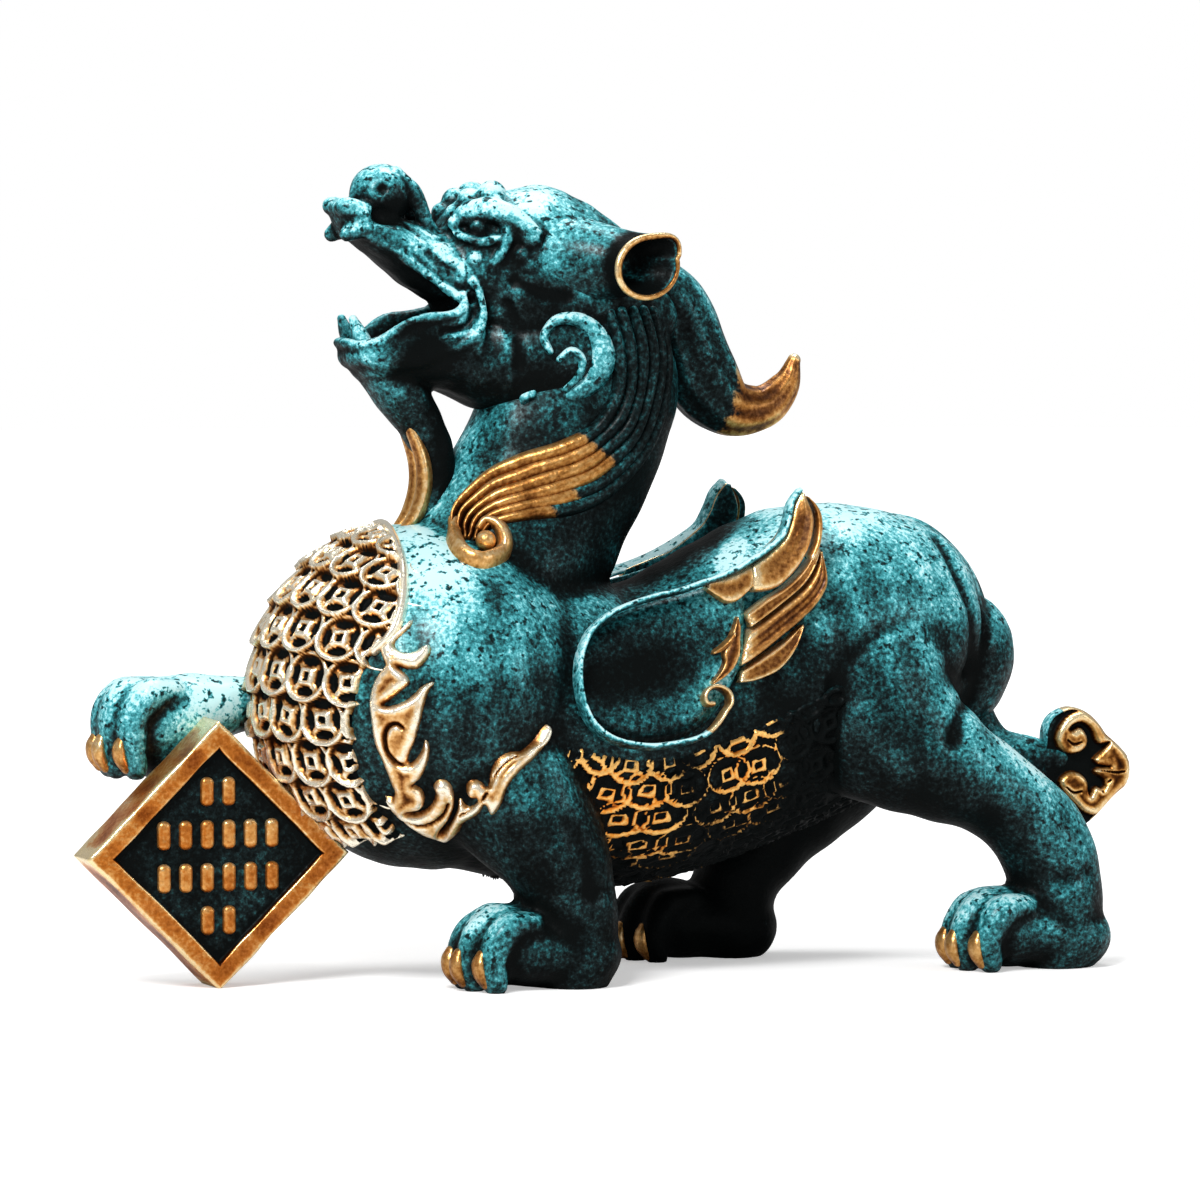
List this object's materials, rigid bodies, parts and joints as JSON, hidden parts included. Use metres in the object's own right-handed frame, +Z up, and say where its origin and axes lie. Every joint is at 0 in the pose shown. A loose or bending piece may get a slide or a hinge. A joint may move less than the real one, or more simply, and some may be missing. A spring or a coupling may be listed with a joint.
{
  "type": "pixiu figure",
  "caption": "Cast guardian beast figurine striding with one forepaw raised on a square plaque, with open jaws, a swept horn and folded wings; stands on its paws and the plaque's corner.",
  "frame": {"origin": "middle of the bounding box at the ground under the soles", "axes": "+X towards the tail with the head at -X, +Y towards the beast's right side, +Z up"},
  "size_m": [0.278, 0.092, 0.206],
  "materials": {
    "patina_paint": "cast resin in near-black green with dry-brushed teal, semi-gloss lacquer, gilt highlights",
    "gilt_paint": "cast resin in worn copper-gold paint round a dark green panel"
  },
  "bodies": {
    "root": {"pixiu_figure": "patina_paint", "plaque": "gilt_paint"}
  },
  "joints": []
}
